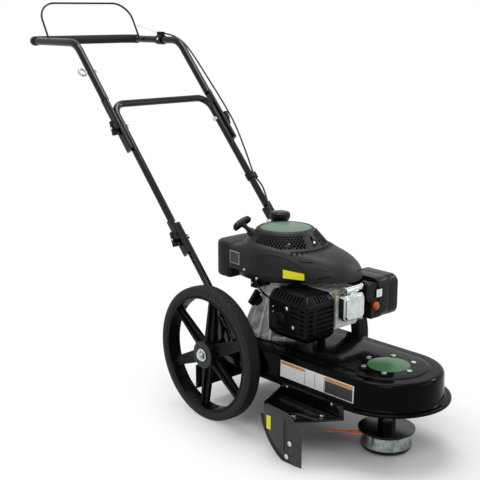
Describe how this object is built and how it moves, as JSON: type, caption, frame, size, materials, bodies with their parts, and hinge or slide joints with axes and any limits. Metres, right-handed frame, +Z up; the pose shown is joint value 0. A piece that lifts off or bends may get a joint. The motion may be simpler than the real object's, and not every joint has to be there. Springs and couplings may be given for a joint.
{
  "type": "wheeled string trimmer",
  "caption": "Walk-behind string trimmer with a petrol engine on a long black deck, large spoked wheels, a line head under the front, a side guard and a folding handle with a bail bar.",
  "frame": {"origin": "on the ground, under the axis of the trimmer head, in the flat bottom of the glide disc", "axes": "+Z up, -Y forward along the deck, +Y towards the handle, +X to the machine's left"},
  "size_m": [0.4955, 1.4608, 1.0702],
  "materials": {
    "deck_paint": "gloss black paint",
    "frame_paint": "satin black paint",
    "guard_paint": "satin dark grey paint",
    "zinc": "zinc plate",
    "steel": "bare steel",
    "cast_alu": "sand-cast aluminium",
    "muffler_steel": "heat-stained steel",
    "shroud_plastic": "textured dark grey plastic",
    "black_plastic": "black moulded plastic",
    "tyre": "dark grey tyre rubber",
    "rubber": "black rubber",
    "foam": "closed-cell foam",
    "bulb": "orange-red rubber",
    "line": "orange nylon line",
    "rope": "braided rope",
    "cable": "black cable jacket",
    "chrome": "chrome plate"
  },
  "bodies": {
    "chassis": {"deck_shell": "deck_paint", "spindle_housing": "frame_paint", "spindle_bearings": "steel", "deck_bolts": "zinc", "drive_belt": "rubber", "axle": "zinc", "axle_brackets": "frame_paint", "frame_bolts": "zinc", "masts": "frame_paint", "lower_bolts": "zinc", "guard_bracket": "frame_paint", "debris_shield": "guard_paint", "rubber_flap": "rubber", "crankcase": "cast_alu", "cylinder_head": "cast_alu", "valve_cover": "zinc", "plug_shield": "zinc", "muffler": "muffler_steel", "muffler_guard": "frame_paint", "blower_shroud": "shroud_plastic", "recoil_cover": "shroud_plastic", "fuel_tank": "shroud_plastic", "carburettor": "cast_alu", "air_filter_base": "black_plastic", "air_filter_cover": "black_plastic", "starter_rope": "rope", "cable_lower": "cable"},
    "crank": {"crankshaft": "steel", "flywheel": "cast_alu", "drive_pulley": "steel"},
    "head": {"spindle_shaft": "steel", "driven_pulley": "steel", "head_plate": "frame_paint", "line_drum": "zinc", "glide_disc": "black_plastic", "trimmer_line": "line"},
    "right_wheel": {"right_tyre": "tyre", "right_rim": "black_plastic"},
    "left_wheel": {"left_tyre": "tyre", "left_rim": "black_plastic"},
    "lower_handle": {"lower_handle": "frame_paint", "upper_bolts": "zinc", "cable_clamp": "black_plastic", "cable_upper": "cable"},
    "upper_handle": {"upper_handle": "frame_paint", "foam_grip": "foam", "rope_guide": "chrome", "cable_clip": "black_plastic", "bail_wire": "steel"},
    "bail": {"bail": "frame_paint"},
    "brake_lever": {"brake_lever": "zinc"},
    "starter_grip": {"starter_grip": "black_plastic"},
    "recoil_pulley": {"recoil_pulley": "black_plastic"},
    "primer_bulb": {"primer_bulb": "bulb"},
    "fuel_cap": {"fuel_cap": "black_plastic"},
    "dipstick": {"dipstick": "black_plastic"},
    "right_upper_knob": {"right_upper_knob": "black_plastic"},
    "left_upper_knob": {"left_upper_knob": "black_plastic"},
    "right_lower_knob": {"right_lower_knob": "black_plastic"},
    "left_lower_knob": {"left_lower_knob": "black_plastic"}
  },
  "joints": [
    {"name": "right_wheel_spin", "type": "hinge", "parent": "chassis", "child": "right_wheel", "pos_m": [-0.2025, 0.432, 0.178], "axis": [1, 0, 0], "continuous": true},
    {"name": "left_wheel_spin", "type": "hinge", "parent": "chassis", "child": "left_wheel", "pos_m": [0.2025, 0.432, 0.178], "axis": [1, 0, 0], "continuous": true},
    {"name": "crank_spin", "type": "hinge", "parent": "chassis", "child": "crank", "pos_m": [0, 0.36, 0.3], "axis": [0, 0, 1], "continuous": true},
    {"name": "head_spin", "type": "hinge", "parent": "chassis", "child": "head", "pos_m": [0, 0, 0.1], "axis": [0, 0, 1], "continuous": true},
    {"name": "lower_handle_tilt", "type": "hinge", "parent": "chassis", "child": "lower_handle", "pos_m": [0, 0.58244, 0.45441], "axis": [1, 0, 0], "range_deg": [-10, 10], "deforming": ["cable_lower"]},
    {"name": "upper_handle_fold", "type": "hinge", "parent": "lower_handle", "child": "upper_handle", "pos_m": [0, 0.83098, 0.7285], "axis": [1, 0, 0], "range_deg": [0, 150], "deforming": ["cable_upper"]},
    {"name": "bail_squeeze", "type": "hinge", "parent": "upper_handle", "child": "bail", "pos_m": [0, 1.21286, 0.95445], "axis": [-1, 0, 0], "range_deg": [0, 46], "stiffness_Nm_per_rad": 1, "springref_deg": -22.92, "deforming": ["bail_wire"]},
    {"name": "brake_lever_turn", "type": "hinge", "parent": "chassis", "child": "brake_lever", "pos_m": [0.108, 0.41, 0.376], "axis": [0, 0, -1], "range_deg": [0, 20]},
    {"name": "starter_pull", "type": "slide", "parent": "chassis", "child": "starter_grip", "axis": [-0.195, 0.8059, 0.559], "range_m": [0, 0.3], "stiffness_N_per_m": 20, "springref_m": -0.1, "deforming": ["starter_rope"]},
    {"name": "recoil_pulley_turn", "type": "hinge", "parent": "chassis", "child": "recoil_pulley", "pos_m": [0, 0.36, 0.465], "axis": [0, 0, 1], "range_deg": [0, 400]},
    {"name": "primer_press", "type": "slide", "parent": "chassis", "child": "primer_bulb", "axis": [0, 1, 0], "range_m": [0, 0.005], "stiffness_N_per_m": 800},
    {"name": "fuel_cap_turn", "type": "hinge", "parent": "chassis", "child": "fuel_cap", "pos_m": [0.084, 0.468, 0.485], "axis": [0, 0, 1], "range_deg": [0, 90]},
    {"name": "dipstick_turn", "type": "hinge", "parent": "chassis", "child": "dipstick", "pos_m": [-0.07, 0.368, 0.294], "axis": [-0.7507, 0, 0.6606], "range_deg": [0, 90]},
    {"name": "right_upper_knob_turn", "type": "hinge", "parent": "lower_handle", "child": "right_upper_knob", "pos_m": [-0.2, 0.83098, 0.7285], "axis": [-1, 0, 0], "range_deg": [0, 360]},
    {"name": "left_upper_knob_turn", "type": "hinge", "parent": "lower_handle", "child": "left_upper_knob", "pos_m": [0.2, 0.83098, 0.7285], "axis": [1, 0, 0], "range_deg": [0, 360]},
    {"name": "right_lower_knob_turn", "type": "hinge", "parent": "chassis", "child": "right_lower_knob", "pos_m": [-0.19, 0.58244, 0.45441], "axis": [-1, 0, 0], "range_deg": [0, 360]},
    {"name": "left_lower_knob_turn", "type": "hinge", "parent": "chassis", "child": "left_lower_knob", "pos_m": [0.19, 0.58244, 0.45441], "axis": [1, 0, 0], "range_deg": [0, 360]}
  ],
  "couplings": [
    {"joint": "head_spin", "follows": "crank_spin", "ratio": 0.83333},
    {"joint": "brake_lever_turn", "follows": "bail_squeeze", "ratio": 0.4},
    {"joint": "recoil_pulley_turn", "follows": "starter_pull", "rad_per_m": 22.222}
  ]
}
